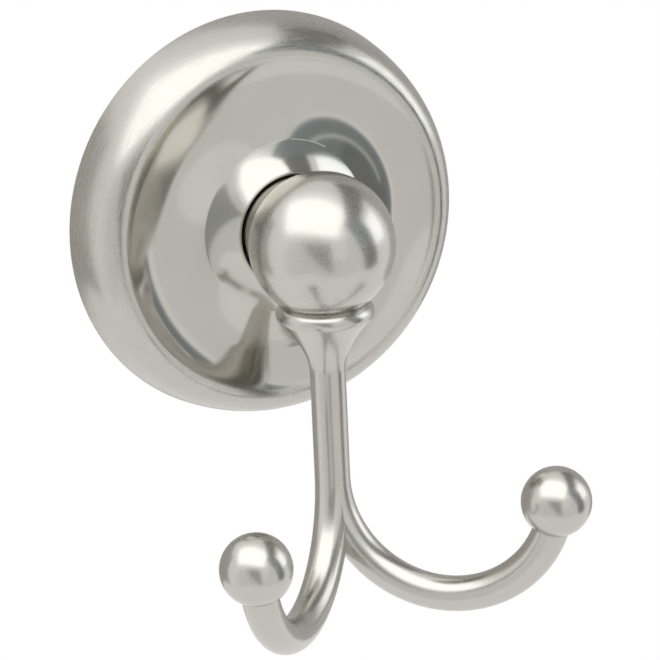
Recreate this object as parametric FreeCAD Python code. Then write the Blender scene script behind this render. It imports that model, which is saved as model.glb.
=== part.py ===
import FreeCAD, Part

import math
import os

# Double robe hook. Millimetres, the wall is the plane Y = 0, +Z is up and the hook stands out along -Y.
# Shapes turned about the wall axis are drawn as (radius, height off the wall).

# Rosette: rim, face and trumpet neck
plate_radius = 35.0
wall = 2.0
crest_radius = 29.2
crest_height = 10.5
crest_round = 0.8
rim_lean = 0.7
rim_shoulder = 2.1
cove_angle = math.radians(28.3)
cove_pull = 2.56
cove_flatness = 0.19
valley_radius = 22.0
valley_depth = 1.55
bell_flatness = 0.1
step_radius = 14.8
step_rise = 1.38
step_slope = math.radians(17.2)
step_pull = 4.0
neck_foot_slope = math.radians(21)
neck_slope = math.radians(43)
neck_pull = 1.9
lip_radius = 10.05
lip_height = 13.45
lip_round = 0.15

# Socket and web behind the ball, with the screw and washer that hold it
socket_radius = 9.8
socket_floor = 10.9
web_thickness = 2.4
web_radius = 12.0
spigot_clearance = 0.5
screw_radius = 2.5
screw_clearance = 0.25
screw_engagement = 9.0
screw_head_radius = 4.7
screw_head_height = 3.2
screw_key = 3.0
screw_key_depth = 1.9
thread_clearance = 0.03
drill_allowance = 2.0
washer_radius = 4.4
washer_thickness = 1.2
washer_slit = 0.8
key_radius = 1.5
key_length = 1.9
key_offset = 6.0
key_clearance = 0.15

# Ball head, collar, shank and arms
ball_radius = 12.2
ball_reach = 24.0
bead_radius = 1.75
bead_outer_radius = 8.25
bead_drop = 11.6
collar_pull = 2.55
collar_foot = 22.0
rod_radius = 3.0
arm_start = 40.7
arm_bend = 19.46
arm_turn = 175.7
arm_forward = 45.0
tip_radius = 5.9

# Wall bracket, the catch that hangs on it and the set screw that locks it
bracket_thickness = 1.6
bracket_width = 34.0
bracket_flat = 13.0
bracket_lip = 6.2
bracket_corner = 3.0
wall_hole_radius = 2.3
wall_hole_spacing = 20.0
catch_clearance = 0.1
catch_width = 12.0
catch_foot = 0.8
catch_back = 22.0
set_screw_radius = 2.0
set_screw_height = 4.2
set_screw_recess = 2.0
set_screw_key = 2.0
set_screw_key_depth = 2.2
boss_radius = 3.6
boss_top = 23.0

V = FreeCAD.Vector
UP = V(0, 0, 1)
OUT = V(0, -1, 0)
ACROSS = V(1, 0, 0)

# Values that follow from the ones above
valley_height = crest_height - valley_depth
step_height = valley_height + step_rise
spigot_radius = socket_radius - spigot_clearance
web_back = socket_floor - web_thickness
ball_centre = V(0, -ball_reach, 0)


def turned(radius, height):
    """A point of a profile turned about the wall axis."""
    return V(radius, -height, 0)


def line(a, b):
    return Part.LineSegment(a, b).toShape()


def chain(points):
    return [line(a, b) for a, b in zip(points, points[1:])]


def curve(*poles):
    bezier = Part.BezierCurve()
    bezier.setPoles(list(poles))
    return bezier


def revolve(edges, base, axis):
    profile = Part.Wire(Part.__sortEdges__(edges))
    return Part.Face(profile).revolve(base, axis, 360)


def rod(radius, start, direction, length):
    return Part.makeCylinder(radius, length, start, direction)


def prism(points, direction):
    return Part.Face(Part.makePolygon(points + points[:1])).extrude(direction)


def hexagon(across_flats, centre, direction, depth):
    """A hexagonal key recess."""
    turn = FreeCAD.Rotation(UP, direction)
    corner = across_flats / math.sqrt(3)
    angles = [math.radians(60 * i) for i in range(6)]
    points = [centre + turn.multVec(V(math.cos(a), math.sin(a), 0) * corner) for a in angles]
    return prism(points, direction * depth)


def ring_edges(shape, radius, height):
    """The circular edges of a turned shape at one radius and height off the wall."""
    found = []
    for edge in shape.Edges:
        if isinstance(edge.Curve, Part.Circle):
            level = -edge.Curve.Center.y
            if abs(edge.Curve.Radius - radius) < 1e-4 and abs(level - height) < 1e-4:
                found.append(edge)
    return found


def along(radius, height, slope, pull):
    """The pole of a profile curve that lies the given pull outward and down from a point, at a slope."""
    return turned(radius + pull * math.cos(slope), height - pull * math.sin(slope))


def rim_curve(inset):
    """The roll of the rim from the wall to its crest: the outside, or the inside at the wall's thickness."""
    foot = plate_radius - inset
    top = crest_height - inset
    return curve(
        turned(foot, 0),
        turned(foot - rim_lean, top * 0.48),
        turned(foot - rim_shoulder, top * 0.95),
        turned(crest_radius, top),
    )


def cove_curve():
    """The inner side of the rim, from the crest down to the valley of the face."""
    return curve(
        turned(crest_radius, crest_height),
        along(crest_radius, crest_height, math.pi - cove_angle, cove_pull),
        turned(valley_radius + cove_flatness * (crest_radius - valley_radius), valley_height),
        turned(valley_radius, valley_height),
    )


def bell_curve():
    """The bell of the face, rising from the valley to the faint step at the foot of the trumpet neck."""
    return curve(
        turned(valley_radius, valley_height),
        turned(valley_radius - bell_flatness * (valley_radius - step_radius), valley_height),
        along(step_radius, step_height, step_slope, step_pull),
        turned(step_radius, step_height),
    )


def neck_curve():
    """The trumpet neck, from the step to its lip."""
    lip_foot = lip_height - lip_round
    return curve(
        turned(step_radius, step_height),
        along(step_radius, step_height, neck_foot_slope, -neck_pull),
        along(lip_radius, lip_foot, neck_slope, neck_pull),
        turned(lip_radius, lip_foot),
    )


def under(profile, share):
    """A point the wall's thickness behind a profile curve, at a share of its length."""
    tangent = profile.tangent(share)[0]
    return profile.value(share) + tangent.cross(UP) * wall


def backplate():
    """The rosette: a hollow turned casting with the socket at its front and the fixing features behind."""
    lip_start = turned(lip_radius, lip_height - lip_round)
    lip_top = turned((lip_radius + socket_radius) / 2, lip_height)
    lip_end = turned(socket_radius, lip_height - lip_round)
    hole_radius = screw_radius + screw_clearance
    cove, bell = cove_curve(), bell_curve()
    lip = Part.Arc(lip_start, lip_top, lip_end)
    edges = [side.toShape() for side in (rim_curve(0), cove, bell, neck_curve(), lip, rim_curve(wall))]
    edges += chain([
        lip_end,
        turned(socket_radius, socket_floor),
        turned(hole_radius, socket_floor),
        turned(hole_radius, web_back),
        turned(web_radius, web_back),
        under(bell, 1),
        under(bell, 0.5),
        under(bell, 0),
        under(cove, 0.5),
        turned(crest_radius, crest_height - wall),
    ])
    edges.append(line(turned(plate_radius - wall, 0), turned(plate_radius, 0)))
    body = revolve(edges, V(0, 0, 0), OUT)
    body = body.makeFillet(crest_round, ring_edges(body, crest_radius, crest_height))
    body = body.fuse([catch(), set_screw_boss()]).removeSplitter()
    key_hole = rod(key_radius + key_clearance, V(0, 0, key_offset), OUT, socket_floor + wall)
    return body.cut([key_hole, set_screw_hole()])


def catch():
    """The cast toe inside the top of the rosette that drops behind the bracket's upper lip."""
    gap = catch_clearance * math.sqrt(2)
    roof = valley_height - wall / 2
    side = [
        (bracket_flat + gap + catch_foot, catch_foot),
        (catch_back, catch_foot),
        (catch_back, roof),
        (bracket_flat + gap + roof, roof),
    ]
    points = [V(-catch_width / 2, -height, up) for up, height in side]
    return prism(points, ACROSS * catch_width)


def set_screw_boss():
    """The boss inside the bottom of the rim that carries the set screw, with a web up to the face."""
    length = plate_radius - boss_top
    web = crest_height - 0.9 * wall - set_screw_height
    foot = V(-boss_radius, -set_screw_height - web, -plate_radius)
    boss = rod(boss_radius, V(0, -set_screw_height, -plate_radius), UP, length)
    boss = boss.fuse(Part.makeBox(2 * boss_radius, web, length, foot)).removeSplitter()
    rim_top = turned(crest_radius, crest_height)
    core = chain([rim_top, turned(0, crest_height), turned(0, 0), turned(plate_radius, 0)])
    return boss.common(revolve([rim_curve(0).toShape()] + core, V(0, 0, 0), OUT))


def set_screw_hole():
    start = V(0, -set_screw_height, -plate_radius - wall)
    return rod(set_screw_radius + thread_clearance, start, UP, plate_radius + 2 * wall - boss_top)


def set_screw():
    """Grub screw with a hexagon socket below and a cone point that bears on the bracket's lower lip."""
    tip = -(bracket_flat + set_screw_height + catch_clearance)
    shoulder = tip - set_screw_radius
    foot = -(plate_radius - set_screw_recess)
    body = rod(set_screw_radius, V(0, -set_screw_height, foot), UP, shoulder - foot)
    point = Part.makeCone(set_screw_radius, 0, set_screw_radius, V(0, -set_screw_height, shoulder), UP)
    recess = hexagon(set_screw_key, V(0, -set_screw_height, foot), UP, set_screw_key_depth)
    return body.fuse(point).removeSplitter().cut(recess)


def wall_bracket():
    """Steel plate bent forward at its upper and lower edges, with two holes for the wall screws."""
    reach = bracket_lip / math.sqrt(2)
    thick = bracket_thickness / math.sqrt(2)
    bend = bracket_thickness * math.tan(math.radians(22.5))
    upper = [
        (bracket_flat, 0),
        (bracket_flat + reach, reach),
        (bracket_flat + reach - thick, reach + thick),
        (bracket_flat - bend, bracket_thickness),
    ]
    lower = [(-up, height) for up, height in reversed(upper)]
    points = [V(-bracket_width / 2, -height, up) for up, height in upper + lower]
    plate = prism(points, ACROSS * bracket_width)
    depth = reach + 2 * thick
    tall = 2 * (bracket_flat + reach)
    outline = Part.makeBox(bracket_width, depth, tall, V(-bracket_width / 2, -depth, -tall / 2))
    corners = [e for e in outline.Edges if abs(e.Vertexes[0].Point.y - e.Vertexes[-1].Point.y) > thick]
    plate = plate.common(outline.makeFillet(bracket_corner, corners))
    for side in (-1, 1):
        start = V(side * wall_hole_spacing / 2, bracket_thickness, 0)
        plate = plate.cut(rod(wall_hole_radius, start, OUT, 3 * bracket_thickness))
    return plate


def collar():
    """Bead under the ball and the flare that draws in to the shank, turned about the shank."""
    def at(radius, drop):
        return V(radius, -ball_reach, -drop)

    side = bead_radius / math.sqrt(2)
    middle = bead_outer_radius - bead_radius
    top = at(middle, bead_drop - bead_radius)
    low = at(middle + side, bead_drop + side)
    foot = at(rod_radius, collar_foot)
    pull = collar_pull / math.sqrt(2)
    bead = Part.Arc(top, at(bead_outer_radius, bead_drop), low)
    flare = curve(
        low,
        at(middle + side - pull, bead_drop + side + pull),
        at(rod_radius, collar_foot - 1.5 * collar_pull),
        foot,
    )
    core = chain([foot, at(0, collar_foot), at(0, bead_drop - bead_radius), top])
    return revolve([bead.toShape(), flare.toShape()] + core, ball_centre, UP)


def arm(side):
    """One J-shaped arm with its tip ball: side is -1 for the left arm and 1 for the right one."""
    forward = math.radians(arm_forward)
    outward = V(side * math.cos(forward), -math.sin(forward), 0)
    start = V(0, -ball_reach, -arm_start)
    hinge = start + outward * arm_bend
    section = Part.Face(Part.Wire(Part.makeCircle(rod_radius, start, UP)))
    bend = section.revolve(hinge, outward.cross(UP), arm_turn)
    turn = math.radians(arm_turn)
    tip = hinge - outward * (arm_bend * math.cos(turn)) - UP * (arm_bend * math.sin(turn))
    return bend.fuse(Part.makeSphere(tip_radius, tip))


def hook():
    """Ball head with its spigot, collar, shank, arms and tip balls: one casting."""
    ball = Part.makeSphere(ball_radius, ball_centre)
    spigot = rod(spigot_radius, V(0, -socket_floor, 0), OUT, ball_reach - socket_floor)
    key = rod(key_radius, V(0, key_length - socket_floor, key_offset), OUT, 2 * key_length)
    shank = rod(rod_radius, V(0, -ball_reach, -arm_start), UP, arm_start - collar_foot)
    body = ball.fuse([spigot, key, collar(), shank, arm(-1), arm(1)]).removeSplitter()
    depth = screw_engagement + drill_allowance
    return body.cut(rod(screw_radius + thread_clearance, V(0, -socket_floor, 0), OUT, depth))


def lock_washer():
    """Split spring washer between the web and the screw's head."""
    start = V(0, washer_thickness - web_back, 0)
    ring = rod(washer_radius, start, OUT, washer_thickness)
    ring = ring.cut(rod(screw_radius + thread_clearance, start, OUT, washer_thickness))
    slit = Part.makeBox(washer_slit, washer_thickness, washer_radius, V(-washer_slit / 2, -web_back, 0))
    return ring.cut(slit)


def hook_screw():
    """Button-head machine screw with a hexagon socket, from behind the web into the ball head."""
    bearing = web_back - washer_thickness
    back = bearing - screw_head_height
    head = rod(screw_head_radius, V(0, -back, 0), OUT, screw_head_height)
    head = head.makeFillet(screw_head_height * 0.6, ring_edges(head, screw_head_radius, back))
    end = socket_floor + screw_engagement
    shank = rod(screw_radius, V(0, -bearing, 0), OUT, end - bearing)
    shank = shank.makeChamfer(screw_radius / 5, ring_edges(shank, screw_radius, end))
    recess = hexagon(screw_key, V(0, -back, 0), OUT, screw_key_depth)
    return head.fuse(shank).removeSplitter().cut(recess)


os.makedirs("parts", exist_ok=True)
for piece in (backplate, hook, hook_screw, lock_washer, wall_bracket, set_screw):
    piece().exportStep("parts/" + piece.__name__ + ".step")
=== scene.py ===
"""Double robe hook in satin nickel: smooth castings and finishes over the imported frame, in a plain studio."""

import logging
import math
from dataclasses import dataclass, field
from enum import Enum
from typing import Any

import bmesh
import bpy
from mathutils import Matrix, Vector


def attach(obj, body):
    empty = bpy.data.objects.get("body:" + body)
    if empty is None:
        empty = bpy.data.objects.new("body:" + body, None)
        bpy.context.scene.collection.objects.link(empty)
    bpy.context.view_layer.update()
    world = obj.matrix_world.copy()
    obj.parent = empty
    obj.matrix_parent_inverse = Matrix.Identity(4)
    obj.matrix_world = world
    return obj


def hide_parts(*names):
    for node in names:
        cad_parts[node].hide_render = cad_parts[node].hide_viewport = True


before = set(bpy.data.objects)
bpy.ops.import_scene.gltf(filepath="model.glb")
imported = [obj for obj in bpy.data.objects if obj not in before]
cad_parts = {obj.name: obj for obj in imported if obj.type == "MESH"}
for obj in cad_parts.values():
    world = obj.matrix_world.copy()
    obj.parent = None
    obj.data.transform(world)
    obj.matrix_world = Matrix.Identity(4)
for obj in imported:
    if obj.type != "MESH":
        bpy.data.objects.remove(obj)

logging.basicConfig(level=logging.INFO, format="%(name)s: %(message)s")
LOG = logging.getLogger("robe_hook")

MM = 0.001
SHANK_REACH = 24.0  # From the wall to the axis of the ball and shank, in millimetres
SHARP = 20.0  # Degrees between two faces, past which their edge stays crisp
WELD = 1e-7  # Points nearer than this to each other, in metres, are one point
AIM = (0.0, -0.02, -0.01)  # What every panel in the studio faces, in metres
Point = tuple[float, float]


class Turning(Enum):
    """The axis that a turned piece or a brushed grain goes round."""

    WALL = "wall"
    SHANK = "shank"


# Colours and nodes


def linear(hex_colour: str) -> tuple[float, float, float, float]:
    """Turns an sRGB hex colour into a linear one.

    Args:
        hex_colour: Six hex digits after a hash sign.

    Returns:
        Red, green, blue and alpha for a shader socket.
    """
    parts = [int(hex_colour[i:i + 2], 16) / 255 for i in (1, 3, 5)]
    red, green, blue = (c / 12.92 if c <= 0.04045 else ((c + 0.055) / 1.055) ** 2.4 for c in parts)
    return (red, green, blue, 1.0)


def add(
    tree: bpy.types.NodeTree, kind: str, inputs: dict[Any, Any] | None = None, **settings: Any,
) -> bpy.types.Node:
    """Adds one node to a tree, with its settings and what goes into it.

    Args:
        tree: The shader or geometry tree.
        kind: The node's type name.
        inputs: Values or sockets, by the name or number of the input that takes them.
        **settings: Properties of the node itself.

    Returns:
        The new node.
    """
    node = tree.nodes.new(kind)
    for name, value in settings.items():
        setattr(node, name, value)
    for key, value in (inputs or {}).items():
        if isinstance(value, bpy.types.NodeSocket):
            tree.links.new(value, node.inputs[key])
        else:
            node.inputs[key].default_value = value
    return node


def blank_material(name: str) -> tuple[bpy.types.Material, bpy.types.NodeTree]:
    """A new material with an empty tree.

    Args:
        name: Name of the material.

    Returns:
        The material and its tree.
    """
    made = bpy.data.materials.new(name)
    made.use_nodes = True
    made.node_tree.nodes.clear()
    return made, made.node_tree


# Outlines in the half plane of a turned piece, as (radius, height) in millimetres


def span(start: Point, pull: Point, push: Point, end: Point, steps: int) -> list[Point]:
    """Points along one cubic curve.

    Args:
        start: First point of the curve.
        pull: Pole that the curve leaves its start towards.
        push: Pole that it comes to its end from.
        end: Last point of the curve.
        steps: How many pieces the curve is cut into.

    Returns:
        The points, both ends among them.
    """
    points = []
    for i in range(steps + 1):
        t = i / steps
        weights = ((1 - t) ** 3, 3 * (1 - t) ** 2 * t, 3 * (1 - t) * t * t, t ** 3)
        poles = (start, pull, push, end)
        points.append(tuple(sum(w * p[axis] for w, p in zip(weights, poles)) for axis in (0, 1)))
    return points


def arc(centre: Point, radius: float, first: float, last: float, steps: int) -> list[Point]:
    """Points along a circular arc, its angles in degrees from the direction of growing radius."""
    turns = [math.radians(first + (last - first) * i / steps) for i in range(steps + 1)]
    return [(centre[0] + radius * math.cos(a), centre[1] + radius * math.sin(a)) for a in turns]


def leaning(radius: float, height: float, slope: float, pull: float) -> Point:
    """The pole that lies a pull outward and down from a point, at a slope in degrees."""
    angle = math.radians(slope)
    return (radius + pull * math.cos(angle), height - pull * math.sin(angle))


def rounded(before: list[Point], after: list[Point], radius: float, steps: int) -> list[Point]:
    """Joins two runs that meet at a corner by a rounding that touches both.

    Args:
        before: Run up to the corner.
        after: Run away from the corner.
        radius: Radius of the rounding.
        steps: How many pieces the rounding is cut into.

    Returns:
        One run: what is left of the first, the rounding and what is left of the second.
    """
    best = (math.inf, 0, 0, Vector((0, 0)))
    for i in range(1, len(before)):
        a, b = Vector(before[i - 1]), Vector(before[i])
        run = (b - a).normalized()
        centre = b + Vector((-run.y, run.x)) * radius
        nearest = min(range(len(after)), key=lambda k: (Vector(after[k]) - centre).length)
        miss = abs((Vector(after[nearest]) - centre).length - radius)
        if miss < best[0]:
            best = (miss, i, nearest, centre)
    _, i, k, centre = best
    first = Vector(before[i]) - centre
    last = Vector(after[k]) - centre
    start = math.degrees(math.atan2(first.y, first.x))
    turn = (math.degrees(math.atan2(last.y, last.x)) - start + 180) % 360 - 180
    bend = arc((centre.x, centre.y), radius, start, start + turn, steps)
    return before[:i] + bend + after[k + 1:]


def thinned(points: list[Point], least: float) -> list[Point]:
    """Drops points that lie close to the last one kept, but never the ends of a run.

    Args:
        points: The run.
        least: Least distance between the points that stay.

    Returns:
        The thinned run.
    """
    kept = [points[0]]
    for p in points[1:-1]:
        if math.dist(p, kept[-1]) >= least:
            kept.append(p)
    return kept + [points[-1]]


# Meshes


def curve_object(name: str, points: list[Vector], radii: list[float] | None = None) -> bpy.types.Object:
    """A scratch curve through points, which a geometry tree turns or sweeps.

    Args:
        name: Name of the curve.
        points: Its points, in metres.
        radii: Radius of the sweep at each point, in metres.

    Returns:
        The curve's object.
    """
    data = bpy.data.curves.new(name, "CURVE")
    data.dimensions = "3D"
    line = data.splines.new("POLY")
    line.points.add(len(points) - 1)
    for i, place in enumerate(points):
        line.points[i].co = (*place, 1)
        line.points[i].radius = radii[i] if radii else 1
    made = bpy.data.objects.new(name, data)
    bpy.context.scene.collection.objects.link(made)
    return made


def finished(tree: bpy.types.NodeTree, mesh: bpy.types.NodeSocket) -> None:
    """Ends a geometry tree: smooth faces, sharp edges, real geometry and the finish.

    Args:
        tree: The geometry tree.
        mesh: Socket with the tree's mesh.
    """
    given = next(n for n in tree.nodes if n.bl_idname == "NodeGroupInput")
    smooth = add(tree, "GeometryNodeSetShadeSmooth", {"Geometry": mesh, "Shade Smooth": True}, domain="FACE")
    angle = add(tree, "GeometryNodeInputMeshEdgeAngle")
    limit = {0: angle.outputs[0], 1: math.radians(SHARP)}
    crisp = add(tree, "FunctionNodeCompare", limit, operation="GREATER_THAN")
    edges = {"Geometry": smooth.outputs[0], "Selection": crisp.outputs[0], "Shade Smooth": False}
    edged = add(tree, "GeometryNodeSetShadeSmooth", edges, domain="EDGE")
    real = add(tree, "GeometryNodeRealizeInstances", {"Geometry": edged.outputs[0]})
    finish = {"Geometry": real.outputs[0], "Material": given.outputs["Finish"]}
    dressed = add(tree, "GeometryNodeSetMaterial", finish)
    add(tree, "NodeGroupOutput", {0: dressed.outputs[0]})


def new_tree(name: str, sockets: dict[str, str]) -> tuple[bpy.types.NodeTree, bpy.types.Node]:
    """A geometry tree with named inputs.

    Args:
        name: Name of the tree.
        sockets: Socket type of each input, by the input's name.

    Returns:
        The tree and its input node.
    """
    tree = bpy.data.node_groups.new(name, "GeometryNodeTree")
    tree.interface.new_socket("Geometry", in_out="OUTPUT", socket_type="NodeSocketGeometry")
    for label, kind in {**sockets, "Finish": "NodeSocketMaterial"}.items():
        tree.interface.new_socket(label, in_out="INPUT", socket_type=kind)
    return tree, add(tree, "NodeGroupInput")


def turning_tree(axis: Turning) -> bpy.types.NodeTree:
    """The tree that turns an outline about the wall axis or the shank axis.

    Args:
        axis: Which axis the outline goes round. The outline's X is the radius and its Y the height.

    Returns:
        The tree, with the outline, the number of steps round and the finish as its inputs.
    """
    tree, given = new_tree(f"turned_about_{axis.value}", {"Outline": "NodeSocketObject", "Steps": "NodeSocketInt"})
    outline = add(tree, "GeometryNodeObjectInfo", {"Object": given.outputs["Outline"]}, transform_space="ORIGINAL")
    line = add(tree, "GeometryNodeCurveToMesh", {"Curve": outline.outputs["Geometry"]})
    count = add(tree, "GeometryNodeAttributeDomainSize", {0: line.outputs[0]}, component="MESH")
    across = add(tree, "FunctionNodeIntegerMath", {0: given.outputs["Steps"], 1: 1}, operation="ADD")
    sizes = {"Vertices X": count.outputs["Point Count"], "Vertices Y": across.outputs[0]}
    grid = add(tree, "GeometryNodeMeshGrid", sizes)
    index = add(tree, "GeometryNodeInputIndex")
    parts = {0: index.outputs[0], 1: across.outputs[0]}
    along = add(tree, "FunctionNodeIntegerMath", parts, operation="DIVIDE_FLOOR")
    step = add(tree, "FunctionNodeIntegerMath", parts, operation="MODULO")
    place = add(tree, "GeometryNodeInputPosition")
    source = {"Geometry": line.outputs[0], "Value": place.outputs[0], "Index": along.outputs[0]}
    sample = add(tree, "GeometryNodeSampleIndex", source, data_type="FLOAT_VECTOR", domain="POINT")
    apart = add(tree, "ShaderNodeSeparateXYZ", {0: sample.outputs[0]})
    share = add(tree, "ShaderNodeMath", {0: step.outputs[0], 1: given.outputs["Steps"]}, operation="DIVIDE")
    angle = add(tree, "ShaderNodeMath", {0: share.outputs[0], 1: math.tau}, operation="MULTIPLY")
    sine = add(tree, "ShaderNodeMath", {0: angle.outputs[0]}, operation="SINE")
    cosine = add(tree, "ShaderNodeMath", {0: angle.outputs[0]}, operation="COSINE")
    side = add(tree, "ShaderNodeMath", {0: apart.outputs["X"], 1: sine.outputs[0]}, operation="MULTIPLY")
    rise = add(tree, "ShaderNodeMath", {0: apart.outputs["X"], 1: cosine.outputs[0]}, operation="MULTIPLY")
    out = add(tree, "ShaderNodeMath", {0: apart.outputs["Y"], 1: -1}, operation="MULTIPLY")
    spots = {0: side.outputs[0], 1: out.outputs[0], 2: rise.outputs[0]}
    if axis is Turning.SHANK:
        spots = {0: side.outputs[0], 1: rise.outputs[0], 2: apart.outputs["Y"]}
    spot = add(tree, "ShaderNodeCombineXYZ", spots)
    turned = add(tree, "GeometryNodeSetPosition", {"Geometry": grid.outputs["Mesh"], "Position": spot.outputs[0]})
    welded = add(tree, "GeometryNodeMergeByDistance", {"Geometry": turned.outputs[0], "Distance": WELD})
    finished(tree, welded.outputs[0])
    return tree


def sweeping_tree() -> bpy.types.NodeTree:
    """The tree that sweeps a round section along a path, with the path's own radius at each point.

    Returns:
        The tree, with the path, the number of sides and the finish as its inputs.
    """
    tree, given = new_tree("swept_rod", {"Path": "NodeSocketObject", "Sides": "NodeSocketInt"})
    path = add(tree, "GeometryNodeObjectInfo", {"Object": given.outputs["Path"]}, transform_space="ORIGINAL")
    circle = {"Resolution": given.outputs["Sides"], "Radius": 1.0}
    section = add(tree, "GeometryNodeCurvePrimitiveCircle", circle, mode="RADIUS")
    radius = add(tree, "GeometryNodeInputRadius")
    parts = {"Curve": path.outputs["Geometry"], "Profile Curve": section.outputs[0], "Fill Caps": True}
    rod = add(tree, "GeometryNodeCurveToMesh", parts)
    if "Scale" in rod.inputs:
        tree.links.new(radius.outputs[0], rod.inputs["Scale"])
    finished(tree, rod.outputs[0])
    return tree


def grown(name: str, tree: bpy.types.NodeTree, values: dict[str, Any]) -> bpy.types.Object:
    """A plain mesh object grown by a geometry tree.

    Args:
        name: Name of the object.
        tree: The tree that makes its mesh.
        values: What goes into the tree's inputs, by their names.

    Returns:
        The object, with no modifier left on it.
    """
    made = bpy.data.objects.new(name, bpy.data.meshes.new(name))
    bpy.context.scene.collection.objects.link(made)
    modifier = made.modifiers.new(tree.name, "NODES")
    modifier.node_group = tree
    for item in tree.interface.items_tree:
        if item.in_out == "INPUT" and item.name in values:
            modifier[item.identifier] = values[item.name]
    settled(made)
    return made


def settled(piece: bpy.types.Object) -> None:
    """Turns what an object's modifiers make into its own plain mesh and removes them.

    Args:
        piece: The object.
    """
    bpy.context.view_layer.update()
    seen = piece.evaluated_get(bpy.context.evaluated_depsgraph_get())
    mesh = bpy.data.meshes.new_from_object(seen)
    mesh.name = piece.name
    piece.modifiers.clear()
    piece.data = mesh


def outward(piece: bpy.types.Object) -> None:
    """Points all the faces of a closed mesh outwards.

    Args:
        piece: The mesh object.
    """
    shape = bmesh.new()
    shape.from_mesh(piece.data)
    bmesh.ops.recalc_face_normals(shape, faces=shape.faces)
    shape.to_mesh(piece.data)
    shape.free()


def joined(piece: bpy.types.Object, others: list[bpy.types.Object], operation: str) -> None:
    """Fuses other closed meshes to a piece, or cuts them from it, and removes them.

    Args:
        piece: The mesh that stays.
        others: The meshes that are used up.
        operation: UNION or DIFFERENCE.
    """
    for other in others:
        outward(other)
        cut = piece.modifiers.new(other.name, "BOOLEAN")
        cut.operation, cut.solver, cut.object = operation, "EXACT", other
        settled(piece)
        bpy.data.objects.remove(other)


def creased(piece: bpy.types.Object, sharp: float) -> None:
    """Makes a mesh smooth, with edges past an angle in degrees left crisp."""
    piece.data.shade_smooth()
    piece.data.set_sharp_from_angle(angle=math.radians(sharp))


def ringed(name: str, rings: list[list[Vector]]) -> bpy.types.Object:
    """A closed mesh through rings of points, its first and last ring filled.

    Args:
        name: Name of the object.
        rings: Rings of equally many points, in metres.

    Returns:
        The mesh object.
    """
    shape = bmesh.new()
    loops = [[shape.verts.new(p) for p in ring] for ring in rings]
    count = len(rings[0])
    for low, high in zip(loops, loops[1:]):
        for i in range(count):
            k = (i + 1) % count
            shape.faces.new((low[i], low[k], high[k], high[i]))
    shape.faces.new(list(reversed(loops[0])))
    shape.faces.new(loops[-1])
    bmesh.ops.recalc_face_normals(shape, faces=shape.faces)
    mesh = bpy.data.meshes.new(name)
    shape.to_mesh(mesh)
    shape.free()
    made = bpy.data.objects.new(name, mesh)
    bpy.context.scene.collection.objects.link(made)
    return made


def bar(name: str, radius: float, start: Vector, end: Vector, sides: int = 64) -> bpy.types.Object:
    """A round bar, which cuts a hole or makes a pin.

    Args:
        name: Name of the object.
        radius: Its radius in millimetres.
        start: Middle of its first end, in millimetres.
        end: Middle of its other end.
        sides: How many sides it has.

    Returns:
        The mesh object.
    """
    turn = (end - start).to_track_quat("Z", "Y").to_matrix()
    angles = [math.tau * i / sides for i in range(sides)]
    ring = [turn @ Vector((math.cos(a), math.sin(a), 0)) * radius for a in angles]
    return ringed(name, [[(p + q) * MM for q in ring] for p in (start, end)])


# Finishes


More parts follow.
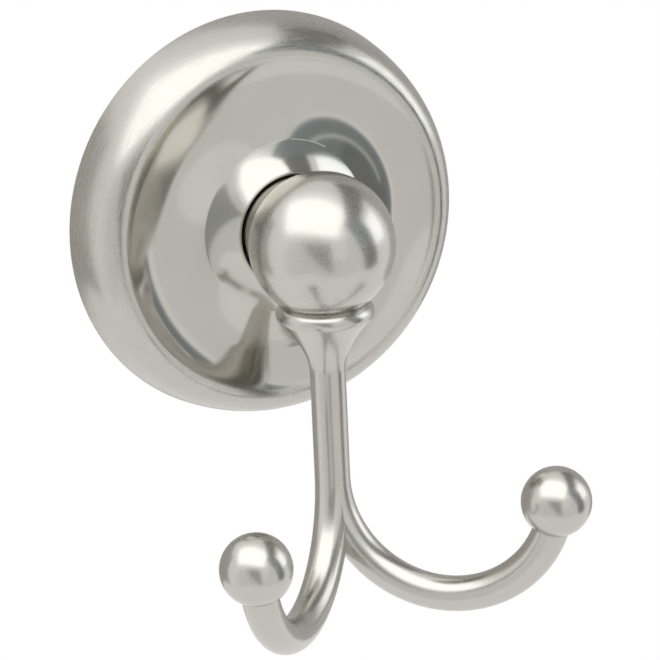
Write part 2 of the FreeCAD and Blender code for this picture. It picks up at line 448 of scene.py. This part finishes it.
@dataclass(frozen=True)
class SatinNickel:
    """Nickel plate on a zinc casting, brushed fine.

    The eye sees soft reflections with a crisper one inside them, a warm grey tone and a grain that goes round
    the turned shapes. Where a face is polished inside a brushed rim, it mirrors what stands about it.
    """

    name: str
    axis: Turning
    colour: str = "#c9c6c0"
    bright_roughness: float = 0.17
    satin_roughness: float = 0.32
    hairline_mm: float = 0.05
    hairline_bump: float = 0.02
    hairline_deep_mm: float = 0.02
    hairline_low: float = 0.32
    hairline_high: float = 0.68
    drawn_mm: float = 1.8
    drawn_out: float = 0.0
    cloud_mm: float = 9.0
    cloud_tint: tuple[float, float, float] = (0.93, 0.925, 0.915)
    polished_to_mm: float = 0.0
    polished_fade_mm: float = 2.0
    polished_from_mm: float = 14.6
    polished_roughness: float = 0.1
    neck_fade_mm: float = 0.4
    neck_roughness: float = 0.15
    worn_radius_mm: float = 14.9
    worn_mm: float = 0.12
    worn_turn: float = 20.0
    worn_reach: float = 13.0
    worn_roughness: float = 0.4

    def polished(
        self, tree: bpy.types.NodeTree, radius: bpy.types.NodeSocket, turn: bpy.types.NodeSocket,
        rough: bpy.types.NodeSocket,
    ) -> bpy.types.NodeSocket:
        """Makes the neck and the face inside the brushed rim smoother, apart from one dull arc.

        Args:
            tree: The material's tree.
            radius: Distance from the axis.
            turn: Angle round the axis.
            rough: Roughness of the brushed grain.

        Returns:
            The roughness of the whole.
        """
        fade = (self.polished_to_mm - self.polished_fade_mm) * MM
        reach = {0: radius, 1: fade, 2: self.polished_to_mm * MM, 3: 0.0, 4: 1.0}
        outer = add(tree, "ShaderNodeMapRange", reach, interpolation_type="SMOOTHSTEP")
        low, high = ((self.polished_from_mm + side * self.neck_fade_mm) * MM for side in (-1, 1))
        gloss = {0: radius, 1: low, 2: high, 3: self.neck_roughness, 4: self.polished_roughness}
        face = add(tree, "ShaderNodeMapRange", gloss)
        # Handling has left a dull arc along the step at the foot of the neck, near its top
        ring = {0: radius, 1: self.worn_radius_mm * MM, 2: self.worn_mm * MM}
        line = add(tree, "ShaderNodeMath", ring, operation="COMPARE")
        sector = {0: turn, 1: math.radians(self.worn_turn), 2: math.radians(self.worn_reach)}
        near = add(tree, "ShaderNodeMath", sector, operation="COMPARE")
        mark = add(tree, "ShaderNodeMath", {0: line.outputs[0], 1: near.outputs[0]}, operation="MULTIPLY")
        worn = {0: mark.outputs[0], 1: self.worn_roughness, 2: face.outputs[0]}
        handled = add(tree, "ShaderNodeMath", worn, operation="MULTIPLY_ADD")
        blend = {0: outer.outputs[0], 2: handled.outputs[0], 3: rough}
        return add(tree, "ShaderNodeMix", blend, data_type="FLOAT").outputs[0]

    def material(self) -> bpy.types.Material:
        """Builds the finish.

        Returns:
            The material.
        """
        made, tree = blank_material(self.name)
        where = add(tree, "ShaderNodeTexCoord")
        upright = self.axis is Turning.SHANK
        shift = (0, SHANK_REACH * MM, 0) if upright else (0, 0, 0)
        moved = add(tree, "ShaderNodeMapping", {"Vector": where.outputs["Object"], "Location": shift})
        apart = add(tree, "ShaderNodeSeparateXYZ", {0: moved.outputs[0]})
        rise, level = ("Y", "Z") if upright else ("Z", "Y")
        flat = add(tree, "ShaderNodeCombineXYZ", {0: apart.outputs["X"], 1: apart.outputs[rise]})
        radius = add(tree, "ShaderNodeVectorMath", {0: flat.outputs[0]}, operation="LENGTH").outputs["Value"]
        sides = {0: apart.outputs["X"], 1: apart.outputs[rise]}
        turn = add(tree, "ShaderNodeMath", sides, operation="ARCTAN2").outputs[0]
        around = add(tree, "ShaderNodeMath", {0: turn, 1: self.drawn_mm * MM}, operation="MULTIPLY")
        parts = {0: radius, 1: apart.outputs[level], 2: around.outputs[0]}
        drawn = add(tree, "ShaderNodeCombineXYZ", parts)
        # Real brush lines are finer than a pixel. On the rosette they are drawn coarser, so that they show
        scale = 1 / (self.hairline_mm * MM)
        grain = {"Vector": drawn.outputs[0], "Scale": scale, "Detail": 1.0, "Roughness": 0.5}
        hairline = add(tree, "ShaderNodeTexNoise", grain)
        cloud = {"Vector": where.outputs["Object"], "Scale": 1 / (self.cloud_mm * MM), "Detail": 3.0}
        clouds = add(tree, "ShaderNodeTexNoise", cloud)
        limits = {1: self.hairline_low, 2: self.hairline_high, 3: self.bright_roughness, 4: self.satin_roughness}
        satin = add(tree, "ShaderNodeMapRange", {0: hairline.outputs["Fac"], **limits}, clamp=True)
        rough = satin.outputs[0]
        if self.polished_to_mm:
            rough = self.polished(tree, radius, turn, rough)
        bright = linear(self.colour)
        dull = (*(c * share for c, share in zip(bright, self.cloud_tint)), 1.0)
        tint = {0: clouds.outputs["Fac"], 6: dull, 7: bright}
        colour = add(tree, "ShaderNodeMix", tint, data_type="RGBA")
        deep = self.hairline_deep_mm * MM
        relief = {"Height": hairline.outputs["Fac"], "Strength": self.hairline_bump, "Distance": deep}
        bump = add(tree, "ShaderNodeBump", relief)
        metal = {"Base Color": colour.outputs[2], "Metallic": 1.0, "Roughness": rough, "Normal": bump.outputs[0]}
        if self.drawn_out:
            # Brush lines that go round the piece spread a reflection across them
            across = add(tree, "ShaderNodeCombineXYZ", {0: apart.outputs["X"], 2: apart.outputs["Z"]})
            metal.update({"Anisotropic": self.drawn_out, "Tangent": across.outputs[0]})
        shader = add(tree, "ShaderNodeBsdfPrincipled", metal)
        add(tree, "ShaderNodeOutputMaterial", {"Surface": shader.outputs[0]})
        return made


@dataclass(frozen=True)
class ZincPlate:
    """Bright zinc on steel, which the eye sees as a cool grey with a faint crystal bloom."""

    name: str
    colour: str = "#b9bcbd"
    roughness: float = 0.3
    bloom_mm: float = 1.2
    bloom_reach: float = 0.8
    bloom_tint: tuple[float, float, float] = (0.85, 0.86, 0.88)
    smoother: float = 0.06
    rougher: float = 0.08

    def material(self) -> bpy.types.Material:
        """Builds the finish.

        Returns:
            The material.
        """
        made, tree = blank_material(self.name)
        where = add(tree, "ShaderNodeTexCoord")
        crystal = {"Vector": where.outputs["Object"], "Scale": 1 / (self.bloom_mm * MM)}
        bloom = add(tree, "ShaderNodeTexVoronoi", crystal)
        spread = {1: 0.0, 2: self.bloom_reach, 3: self.roughness - self.smoother, 4: self.roughness + self.rougher}
        rough = add(tree, "ShaderNodeMapRange", {0: bloom.outputs["Distance"], **spread})
        bright = linear(self.colour)
        dull = (*(c * share for c, share in zip(bright, self.bloom_tint)), 1.0)
        tint = {0: bloom.outputs["Distance"], 6: bright, 7: dull}
        colour = add(tree, "ShaderNodeMix", tint, data_type="RGBA")
        metal = {"Base Color": colour.outputs[2], "Metallic": 1.0, "Roughness": rough.outputs[0]}
        shader = add(tree, "ShaderNodeBsdfPrincipled", metal)
        add(tree, "ShaderNodeOutputMaterial", {"Surface": shader.outputs[0]})
        return made


# The castings


@dataclass
class Rosette:
    """The round backplate: rim, cove, bell and trumpet neck in front, socket, catch and boss behind."""

    plate_radius: float = 35.0
    wall: float = 2.0
    crest_radius: float = 29.2
    crest_height: float = 10.5
    crest_round: float = 2.0
    rim_lean: float = 0.7
    rim_shoulder: float = 2.1
    rim_low: float = 0.48
    rim_high: float = 0.95
    cove_angle: float = 28.3
    cove_pull: float = 2.56
    cove_flatness: float = 0.19
    valley_radius: float = 22.0
    valley_height: float = 8.95
    bell_flatness: float = 0.1
    step_radius: float = 14.8
    step_height: float = 10.33
    step_slope: float = 17.2
    step_pull: float = 4.0
    neck_foot_slope: float = 21.0
    neck_slope: float = 43.0
    neck_pull: float = 1.9
    lip_radius: float = 10.05
    lip_height: float = 13.45
    lip_round: float = 0.15
    socket_radius: float = 9.63
    socket_floor: float = 10.9
    web_back: float = 8.5
    web_radius: float = 12.0
    screw_hole: float = 2.75
    key_hole: float = 1.65
    key_offset: float = 6.0
    catch_top: float = 22.0
    catch_foot: float = 0.8
    catch_width: float = 12.0
    catch_low: float = 13.1414
    boss_radius: float = 3.6
    boss_top: float = 23.0
    boss_web: float = 0.9
    set_screw_height: float = 4.2
    set_screw_hole: float = 2.03
    steps: int = 288
    search_steps: int = 320
    spacing: float = 0.16
    crest_steps: int = 16
    bell_steps: int = 44
    neck_steps: int = 36
    lip_steps: int = 8
    inside_steps: int = 32
    hollow_steps: int = 2000
    finish: SatinNickel = field(default_factory=lambda: SatinNickel(
        "brushed_satin_nickel", Turning.WALL, "#c5c3bc", bright_roughness=0.18, satin_roughness=0.34,
        hairline_mm=0.14, polished_to_mm=29.6, drawn_out=0.4))

    def rim(self, inset: float, steps: int) -> list[Point]:
        """The roll of the rim from the wall to its crest.

        Args:
            inset: How far inside the rim's outer side it runs.
            steps: How many pieces it is cut into.

        Returns:
            The points.
        """
        foot = self.plate_radius - inset
        top = self.crest_height - inset
        poles = ((foot - self.rim_lean, top * self.rim_low), (foot - self.rim_shoulder, top * self.rim_high))
        return span((foot, 0), *poles, (self.crest_radius, top), steps)

    def cove(self, steps: int) -> list[Point]:
        """The inner side of the rim, from the crest down to the valley of the face.

        Args:
            steps: How many pieces it is cut into.

        Returns:
            The points.
        """
        crest = (self.crest_radius, self.crest_height)
        leave = leaning(*crest, 180 - self.cove_angle, self.cove_pull)
        flat = self.valley_radius + self.cove_flatness * (self.crest_radius - self.valley_radius)
        valley = (self.valley_radius, self.valley_height)
        return span(crest, leave, (flat, self.valley_height), valley, steps)

    def bell(self, steps: int) -> list[Point]:
        """The bell of the face, from the valley to the faint step at the foot of the trumpet neck.

        Args:
            steps: How many pieces it is cut into.

        Returns:
            The points.
        """
        valley = (self.valley_radius, self.valley_height)
        flat = self.valley_radius - self.bell_flatness * (self.valley_radius - self.step_radius)
        step = (self.step_radius, self.step_height)
        reach = leaning(*step, self.step_slope, self.step_pull)
        return span(valley, (flat, self.valley_height), reach, step, steps)

    def neck(self, steps: int) -> list[Point]:
        """The trumpet neck, from the step to its lip.

        Args:
            steps: How many pieces it is cut into.

        Returns:
            The points.
        """
        step = (self.step_radius, self.step_height)
        lip = (self.lip_radius, self.lip_height - self.lip_round)
        leave = leaning(*step, self.neck_foot_slope, -self.neck_pull)
        reach = leaning(*lip, self.neck_slope, self.neck_pull)
        return span(step, leave, reach, lip, steps)

    def outline(self) -> list[Point]:
        """The closed section of the rosette, turned about the wall axis.

        Returns:
            Points from the foot of the rim, over the face and back along the hollow inside.
        """
        runs = (self.rim(0, self.search_steps), self.cove(self.search_steps))
        front = thinned(rounded(*runs, self.crest_round, self.crest_steps), self.spacing)
        face = self.bell(self.bell_steps)[1:] + self.neck(self.neck_steps)[1:]
        lip_foot = self.lip_height - self.lip_round
        half = (self.lip_radius - self.socket_radius) / 2
        angles = [math.pi * i / self.lip_steps for i in range(1, self.lip_steps + 1)]
        lip = [(self.socket_radius + half + half * math.cos(a), lip_foot + self.lip_round * math.sin(a))
               for a in angles]
        bell, cove = self.bell(self.hollow_steps), self.cove(self.hollow_steps)
        back = [
            (self.socket_radius, self.socket_floor),
            (self.screw_hole, self.socket_floor),
            (self.screw_hole, self.web_back),
            (self.web_radius, self.web_back),
            self.under(bell, 1.0),
            self.under(bell, 0.5),
            self.under(bell, 0.0),
            self.under(cove, 0.5),
        ]
        inside = list(reversed(self.rim(self.wall, self.inside_steps)))
        return front + face + lip + back + inside + front[:1]

    def under(self, run: list[Point], share: float) -> Point:
        """A point a wall's thickness behind the face.

        Args:
            run: Points along the face.
            share: How far along them it lies, from 0 to 1.

        Returns:
            The point.
        """
        i = min(int(share * len(run)), len(run) - 2)
        (r0, h0), (r1, h1) = run[i], run[i + 1]
        length = math.hypot(r1 - r0, h1 - h0)
        return (r0 - (h1 - h0) / length * self.wall, h0 + (r1 - r0) / length * self.wall)

    def boss(self) -> bpy.types.Object:
        """The boss for the set screw, from inside the rim's wall up towards the bracket.

        Returns:
            The boss with its web, which goes up to the face.
        """
        # Pieces of the rim where it is measured, of the boss's round, of its sides and of half its top
        measured, bends, climbs, half = 200, 40, 12, 8
        outer, inner = self.rim(0, measured), self.rim(self.wall, measured)
        web = self.crest_height - self.boss_web * self.wall
        round_side = arc((0, self.set_screw_height), self.boss_radius, 180, 360, bends)
        rise = [self.set_screw_height + (web - self.set_screw_height) * i / climbs for i in range(1, climbs + 1)]
        flat = [(self.boss_radius * (1 - i / half), web) for i in range(1, 2 * half)]
        sides = [[(x, h) for h in rise] for x in (self.boss_radius, -self.boss_radius)]
        ring = round_side + sides[0] + flat + sides[1][::-1]
        rings: list[list[Vector]] = [[], []]
        for x, height in ring:
            reach = sum(min(run, key=lambda p: abs(p[1] - height))[0] for run in (outer, inner)) / 2
            low = -math.sqrt(reach ** 2 - x * x)
            rings[0].append(Vector((x, -height, low)) * MM)
            rings[1].append(Vector((x, -height, -self.boss_top)) * MM)
        return ringed("boss", rings)

    def catch(self) -> bpy.types.Object:
        """The toe inside the top of the rosette that drops behind the bracket's upper lip.

        Returns:
            The mesh object.
        """
        roof = self.valley_height - self.wall / 2
        side = [
            (self.catch_low + self.catch_foot, self.catch_foot),
            (self.catch_top, self.catch_foot),
            (self.catch_top, roof),
            (self.catch_low + roof, roof),
        ]
        half = self.catch_width / 2
        return ringed("catch", [[Vector((x, -h, up)) * MM for up, h in side] for x in (-half, half)])

    def build(self) -> bpy.types.Object:
        """Turns the rosette, adds what is cast behind it, drills it and gives it its finish.

        Returns:
            The piece that stands for the backplate.
        """
        points = [Vector((r, h, 0)) * MM for r, h in self.outline()]
        outline = curve_object("rosette_outline", points)
        finish = self.finish.material()
        values = {"Outline": outline, "Steps": self.steps, "Finish": finish}
        piece = grown("rosette", turning_tree(Turning.WALL), values)
        bpy.data.objects.remove(outline)
        outward(piece)
        joined(piece, [self.catch(), self.boss()], "UNION")
        key = Vector((0, 0, self.key_offset))
        deep = Vector((0, -self.socket_floor - self.wall, 0))
        low = Vector((0, -self.set_screw_height, -self.plate_radius - self.wall))
        high = Vector((0, -self.set_screw_height, -self.boss_top + self.wall))
        holes = [
            bar("key_hole", self.key_hole, key, key + deep),
            bar("set_screw_hole", self.set_screw_hole, low, high),
        ]
        joined(piece, holes, "DIFFERENCE")
        creased(piece, SHARP)
        piece.data.materials.clear()
        piece.data.materials.append(finish)
        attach(piece, "root")
        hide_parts("backplate")
        return piece


@dataclass
class Hook:
    """The casting in front: ball head on its spigot, beaded collar, shank, two arms and two tip balls."""

    ball_radius: float = 12.2
    ball_reach: float = SHANK_REACH
    spigot_radius: float = 9.3
    spigot_back: float = 10.9
    screw_hole: float = 2.53
    screw_hole_depth: float = 11.0
    key_radius: float = 1.5
    key_length: float = 1.9
    key_offset: float = 6.0
    bead_radius: float = 1.75
    bead_outer_radius: float = 8.25
    bead_drop: float = 11.6
    collar_pull: float = 2.55
    collar_hold: float = 1.5
    collar_foot: float = 22.0
    rod_radius: float = 3.0
    arm_start: float = 40.7
    arm_bend: float = 19.46
    arm_turn: float = 175.7
    arm_forward: float = 45.0
    tip_radius: float = 5.9
    tip_lead: float = 0.5
    sharp: float = 14.0
    sides: int = 96
    ball_steps: int = 192
    bead_steps: int = 28
    flare_steps: int = 32
    shank_steps: int = 8
    arm_steps: int = 110
    tip_steps: int = 112
    tip_rings: int = 64
    finish: SatinNickel = field(default_factory=lambda: SatinNickel("satin_nickel_casting", Turning.SHANK))

    def ball_outline(self) -> list[Point]:
        """The ball head with its spigot and screw hole, turned about the wall axis.

        Returns:
            Points from the end of the screw hole to the front of the ball.
        """
        neck = math.degrees(math.acos(self.spigot_radius / self.ball_radius))
        ball = arc((0, self.ball_reach), self.ball_radius, -neck, 90, self.ball_steps // 2)
        ball[-1] = (0.0, self.ball_reach + self.ball_radius)
        end = self.spigot_back + self.screw_hole_depth
        hole = [(0.0, end), (self.screw_hole, end), (self.screw_hole, self.spigot_back)]
        return hole + [(self.spigot_radius, self.spigot_back)] + ball

    def stem(self) -> list[Point]:
        """The bead and the flare under the ball.

        Returns:
            Radius and height from the top of the bead to where the rod begins.
        """
        middle = self.bead_outer_radius - self.bead_radius
        pull = self.collar_pull / math.sqrt(2)
        bead = arc((middle, -self.bead_drop), self.bead_radius, 90, -45, self.bead_steps)
        low = bead[-1]
        hold = (self.rod_radius, -self.collar_foot + self.collar_hold * self.collar_pull)
        foot = (self.rod_radius, -self.collar_foot)
        flare = span(low, (low[0] - pull, low[1] - pull), hold, foot, self.flare_steps)
        return bead + flare[1:]

    def outward_way(self, side: int) -> Vector:
        """The level direction in which one arm goes out: side is -1 for the left arm and 1 for the right one."""
        forward = math.radians(self.arm_forward)
        return Vector((side * math.cos(forward), -math.sin(forward), 0))

    def arm_point(self, side: int, turn: float) -> Vector:
        """A point on the middle line of an arm.

        Args:
            side: -1 for the left arm and 1 for the right one.
            turn: How far the arm has turned from its start, in degrees.

        Returns:
            The point, in millimetres.
        """
        out = self.outward_way(side)
        angle = math.radians(turn)
        across = out * (self.arm_bend * (1 - math.cos(angle)))
        return Vector((0, -self.ball_reach, -self.arm_start - self.arm_bend * math.sin(angle))) + across

    def rods(self) -> bpy.types.Object:
        """Collar, shank and both arms: one arm swept from the collar to its tip, cut at the middle and mirrored.

        Returns:
            The closed mesh.
        """
        run = self.stem()
        points = [Vector((0, -self.ball_reach, z)) for _, z in run]
        radii = [r for r, _ in run]
        length = self.arm_start - self.collar_foot
        points += [Vector((0, -self.ball_reach, -self.collar_foot - length * i / self.shank_steps))
                   for i in range(1, self.shank_steps + 1)]
        points += [self.arm_point(-1, self.arm_turn * i / self.arm_steps) for i in range(1, self.arm_steps + 1)]
        radii += [self.rod_radius] * (len(points) - len(radii))
        path = curve_object("arm_path", [p * MM for p in points], [r * MM for r in radii])
        values = {"Path": path, "Sides": self.sides, "Finish": self.finish.material()}
        rods = grown("rods", sweeping_tree(), values)
        bpy.data.objects.remove(path)
        outward(rods)
        mirror = rods.modifiers.new("both_arms", "MIRROR")
        mirror.use_axis[0] = mirror.use_bisect_axis[0] = mirror.use_bisect_flip_axis[0] = True
        mirror.use_mirror_merge = True
        mirror.merge_threshold = mirror.bisect_threshold = 10 * WELD
        settled(rods)
        outward(rods)
        return rods

    def tip(self, side: int, tree: bpy.types.NodeTree) -> bpy.types.Object:
        """One tip ball, its poles in line with the end of its arm.

        Args:
            side: -1 for the left arm and 1 for the right one.
            tree: The tree that turns it.

        Returns:
            The mesh object.
        """
        outline = arc((0, 0), self.tip_radius, -90, 90, self.tip_rings)
        outline[0], outline[-1] = (0.0, -self.tip_radius), (0.0, self.tip_radius)
        line = curve_object("tip_outline", [Vector((r, h, 0)) * MM for r, h in outline])
        ball = grown("tip", tree, {"Outline": line, "Steps": self.tip_steps})
        bpy.data.objects.remove(line)
        centre = self.arm_point(side, self.arm_turn)
        way = centre - self.arm_point(side, self.arm_turn - self.tip_lead)
        turn = way.to_track_quat("Z", "Y").to_matrix().to_4x4()
        ball.data.transform(Matrix.Translation(centre * MM) @ turn)
        return ball

    def build(self) -> bpy.types.Object:
        """Makes the casting and gives it its finish.

        Returns:
            The piece that stands for the hook.
        """
        points = [Vector((r, h, 0)) * MM for r, h in self.ball_outline()]
        outline = curve_object("ball_outline", points)
        finish = self.finish.material()
        values = {"Outline": outline, "Steps": self.ball_steps, "Finish": finish}
        piece = grown("hook_casting", turning_tree(Turning.WALL), values)
        bpy.data.objects.remove(outline)
        outward(piece)
        upright = turning_tree(Turning.SHANK)
        back = Vector((0, -self.spigot_back + self.key_length, self.key_offset))
        pin = bar("key", self.key_radius, back, back + Vector((0, -2 * self.key_length, 0)))
        joined(piece, [self.rods(), self.tip(-1, upright), self.tip(1, upright), pin], "UNION")
        creased(piece, self.sharp)
        piece.data.materials.clear()
        piece.data.materials.append(finish)
        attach(piece, "root")
        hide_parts("hook")
        return piece


@dataclass
class Fixings:
    """The steel pieces behind the rosette, which keep their CAD meshes and get their finishes."""

    screws: ZincPlate = field(default_factory=lambda: ZincPlate("zinc_plated_screw_steel", "#b4b6b6", 0.26, 0.8))
    bracket: ZincPlate = field(default_factory=lambda: ZincPlate("zinc_plated_sheet_steel", "#bcbfc0", 0.34, 2.2))

    def dress(self) -> None:
        """Gives each steel piece its finish."""
        screws, bracket = self.screws.material(), self.bracket.material()
        finishes = {"hook_screw": screws, "lock_washer": screws, "set_screw": screws, "wall_bracket": bracket}
        for name, finish in finishes.items():
            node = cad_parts[name]
            for place in node.material_slots:
                place.material = finish
            LOG.info("%s dressed with %s", name, finish.name)


# The studio


def towards(azimuth: float, elevation: float) -> Vector:
    """The direction to a thing, in degrees: azimuth 0 is straight out from the wall and 90 to the right."""
    a, e = math.radians(azimuth), math.radians(elevation)
    return Vector((math.sin(a) * math.cos(e), -math.cos(a) * math.cos(e), math.sin(e)))


def paper(name: str, shade: str) -> bpy.types.Material:
    """A plain matt card.

    Args:
        name: Name of the card.
        shade: Its colour.

    Returns:
        The material.
    """
    made, tree = blank_material(f"{name}_card")
    matt = add(tree, "ShaderNodeBsdfDiffuse", {"Color": linear(shade)})
    add(tree, "ShaderNodeOutputMaterial", {"Surface": matt.outputs[0]})
    return made


def sheet(name: str, width: float, height: float, corners: int = 4) -> bpy.types.Mesh:
    """A flat sheet about the origin that faces up.

    Args:
        name: Name of the mesh.
        width: Its size along X, in metres.
        height: Its size along Y.
        corners: 4, or 3 for a sheet with its lower left half cut off.

    Returns:
        The mesh.
    """
    signs = ((1, -1), (1, 1), (-1, 1), (-1, -1))[:corners]
    made = bpy.data.meshes.new(name)
    made.from_pydata([(x * width / 2, y * height / 2, 0) for x, y in signs], [], [tuple(range(corners))])
    return made


@dataclass(frozen=True)
class Panel:
    """A panel in the studio that faces the hook: a softbox where it has light, and else a card of one shade.

    Its place and its size are angles in degrees, as the hook sees them.
    """

    name: str
    azimuth: float
    elevation: float
    wide: float
    tall: float
    roll: float = 0.0
    away: float = 0.9
    light: float = 0.0
    shade: str = "#ffffff"
    corners: int = 4

    def place(self) -> Matrix:
        """Where the panel stands.

        Returns:
            The matrix that puts it there, with its face turned to the hook.
        """
        way = towards(self.azimuth, self.elevation)
        turn = way.to_track_quat("Z", "Y").to_matrix().to_4x4()
        roll = Matrix.Rotation(math.radians(self.roll), 4, "Z")
        return Matrix.Translation(Vector(AIM) + way * self.away) @ turn @ roll

    def size(self) -> tuple[float, float]:
        """The panel's width and height in metres, from the angles that they fill."""
        return tuple(2 * self.away * math.tan(math.radians(a / 2)) for a in (self.wide, self.tall))

    def build(self) -> None:
        """Sets the panel up."""
        width, height = self.size()
        if self.light:
            lamp = bpy.data.lights.new(self.name, "AREA")
            lamp.shape, lamp.size, lamp.size_y = "RECTANGLE", width, height
            lamp.energy = self.light * math.pi * width * height
            lamp.color = linear(self.shade)[:3]
            made = bpy.data.objects.new(self.name, lamp)
        else:
            mesh = sheet(self.name, width, height, self.corners)
            mesh.materials.append(paper(self.name, self.shade))
            made = bpy.data.objects.new(self.name, mesh)
        made.matrix_world = self.place()
        made.visible_camera = False
        bpy.context.scene.collection.objects.link(made)


@dataclass(frozen=True)
class Viewpoint:
    """The camera, at the place solved from the hook's outline. Its pixels are those of a square image."""

    azimuth: float = -26.0493
    elevation: float = 17.7347
    roll: float = -2.5273
    away: float = 0.54293
    target: tuple[float, float, float] = (0.0, -0.015, -0.020)
    target_pixel: Point = (303.3173, 345.9692)
    image_pixels: int = 660
    focal_pixels: float = 3211.727
    lens: float = 175.185
    sensor: float = 36.0
    nearest: float = 0.01

    def build(self) -> None:
        """Sets the camera up and makes it the scene's own."""
        data = bpy.data.cameras.new("camera")
        data.lens, data.sensor_width, data.clip_start = self.lens, self.sensor, self.nearest
        across, down = ((p - self.image_pixels / 2) / self.focal_pixels for p in self.target_pixel)
        back = towards(self.azimuth, self.elevation)
        right = Vector((0, 0, 1)).cross(back).normalized()
        up = back.cross(right)
        spin = Matrix.Rotation(math.radians(self.roll), 3, back)
        right, up = spin @ right, spin @ up
        place = Vector(self.target) + (back - right * across + up * down) * self.away
        made = bpy.data.objects.new("camera", data)
        made.matrix_world = Matrix.Translation(place) @ Matrix((right, up, back)).transposed().to_4x4()
        bpy.context.scene.collection.objects.link(made)
        bpy.context.scene.camera = made


@dataclass
class Studio:
    """White surroundings, softboxes, the cards that the metal mirrors, a pale floor and the camera."""

    floor_level: float = -0.42
    floor_size: float = 1.2
    floor_shade: str = "#f4f4f2"
    floor_glow: float = 0.8
    view: Viewpoint = Viewpoint()
    panels: tuple[Panel, ...] = (
        Panel("overhead_softbox", -45, 62, 84, 58, light=0.72),
        Panel("overhead_spill", -45, 66, 98, 76, away=1.0, light=0.22),
        Panel("side_softbox", 75, 14, 27, 30, light=0.9, shade="#f0f7ff"),
        Panel("front_fill", -8, 12, 40, 44, away=1.3, light=0.12),
        Panel("studio_front", -26, -16, 118, 86, away=1.6, shade="#f5f5f4"),
        Panel("flag_between", 46.5, 10, 27.5, 78, roll=17, away=1.0, shade="#969fa3"),
        Panel("flag_seam", 43, 2, 1.2, 26, roll=17, away=0.9),
        Panel("flag_foot", 53, -12, 15, 30, roll=13, away=0.95, shade="#868989"),
        Panel("flag_over_side", 84, 50, 62, 25, away=1.0, shade="#969694"),
        Panel("grey_behind_right", 142, 6, 80, 84, away=1.2, shade="#c0c0c0"),
        Panel("grey_behind_left", -152, -8, 66, 74, away=1.2, shade="#bab7b3"),
        Panel("camera_stand", -36.5, -7, 47, 51, away=0.75, shade="#b9bbbb", corners=3),
    )

    def world(self) -> None:
        """Plain white all round, which is also the background."""
        made = bpy.data.worlds.new("white_room")
        made.use_nodes = True
        tree = made.node_tree
        tree.nodes.clear()
        room = add(tree, "ShaderNodeBackground", {"Color": (1, 1, 1, 1), "Strength": 1.0})
        add(tree, "ShaderNodeOutputWorld", {"Surface": room.outputs[0]})
        bpy.context.scene.world = made

    def floor(self) -> None:
        """A pale floor well below the hook. Seen straight or in metal it is nearly as white as the room."""
        mesh = sheet("floor", self.floor_size, self.floor_size)
        mesh.transform(Matrix.Translation((0, 0, self.floor_level)))
        made, tree = blank_material("white_floor_paint")
        rays = add(tree, "ShaderNodeLightPath").outputs
        straight = {0: rays["Is Camera Ray"], 1: rays["Is Glossy Ray"]}
        shown = add(tree, "ShaderNodeMath", straight, operation="MAXIMUM")
        through = {0: shown.outputs[0], 1: rays["Is Transmission Ray"]}
        seen = add(tree, "ShaderNodeMath", through, operation="MAXIMUM")
        share = add(tree, "ShaderNodeMath", {0: seen.outputs[0], 1: self.floor_glow}, operation="MULTIPLY")
        matt = add(tree, "ShaderNodeBsdfDiffuse", {"Color": linear(self.floor_shade)})
        glow = add(tree, "ShaderNodeEmission", {"Color": (1, 1, 1, 1), "Strength": 1.0})
        mixed = add(tree, "ShaderNodeMixShader", {0: share.outputs[0], 1: matt.outputs[0], 2: glow.outputs[0]})
        add(tree, "ShaderNodeOutputMaterial", {"Surface": mixed.outputs[0]})
        mesh.materials.append(made)
        piece = bpy.data.objects.new("floor", mesh)
        bpy.context.scene.collection.objects.link(piece)

    def build(self) -> None:
        """Sets the studio up."""
        bpy.context.scene.view_settings.view_transform = "Standard"
        self.world()
        self.floor()
        for panel in self.panels:
            panel.build()
        self.view.build()


def main() -> None:
    """Builds the castings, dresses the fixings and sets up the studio."""
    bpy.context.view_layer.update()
    for casting in (Rosette(), Hook()):
        piece = casting.build()
        LOG.info("%s built: %d faces", piece.name, len(piece.data.polygons))
    Fixings().dress()
    Studio().build()
    bpy.context.view_layer.update()


if __name__ == "__main__":
    main()
